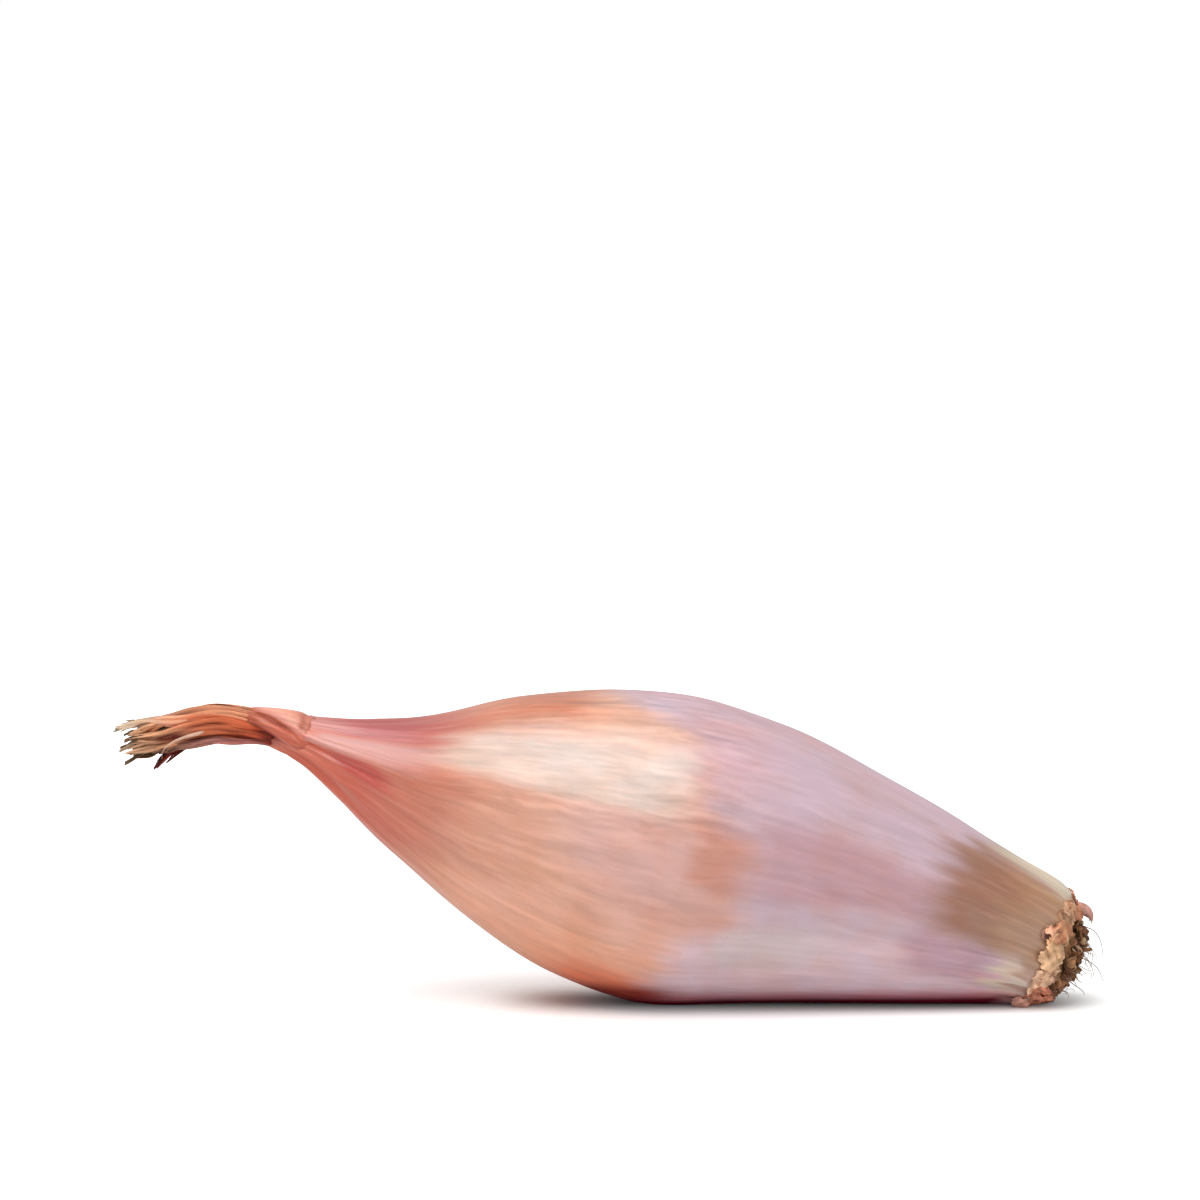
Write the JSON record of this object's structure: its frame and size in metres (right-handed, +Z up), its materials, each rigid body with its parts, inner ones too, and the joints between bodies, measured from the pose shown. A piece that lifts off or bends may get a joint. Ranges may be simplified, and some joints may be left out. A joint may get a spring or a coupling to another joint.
{
  "type": "banana shallot",
  "caption": "Whole banana shallot lying on its belly, with a pinched neck, twisted dry leaf ends and a corky root plate.",
  "frame": {"origin": "on the flat strip under the belly, where the bulb rests, straight below its thickest part", "axes": "+X runs from the neck to the root plate, +Z is up, and -Y is the side that faces a viewer"},
  "size_m": [0.1357, 0.0416, 0.0422],
  "materials": {
    "skin": "satin",
    "pale_leaf": "matte",
    "dry_leaf": "matte",
    "cork": "matte",
    "dry_flake": "matte",
    "root_fibre": "matte"
  },
  "bodies": {
    "root": {"bulb": "skin", "neck_collar": "pale_leaf", "dry_leaf_core": "dry_leaf", "dry_leaf_top": "dry_leaf", "dry_leaf_front": "dry_leaf", "dry_leaf_under": "dry_leaf", "dry_leaf_drooping": "dry_leaf", "dry_leaf_back": "dry_leaf", "root_plate": "cork", "skin_flake_top": "dry_flake", "skin_flake_upper": "dry_flake", "skin_flake_tan": "dry_flake", "skin_flake_floor": "dry_flake", "skin_flake_back_low": "dry_flake", "skin_flake_back": "dry_flake", "skin_flake_back_high": "dry_flake", "root_long": "root_fibre", "root_front": "root_fibre", "root_low": "root_fibre", "root_back": "root_fibre", "root_back_low": "root_fibre"}
  },
  "joints": []
}
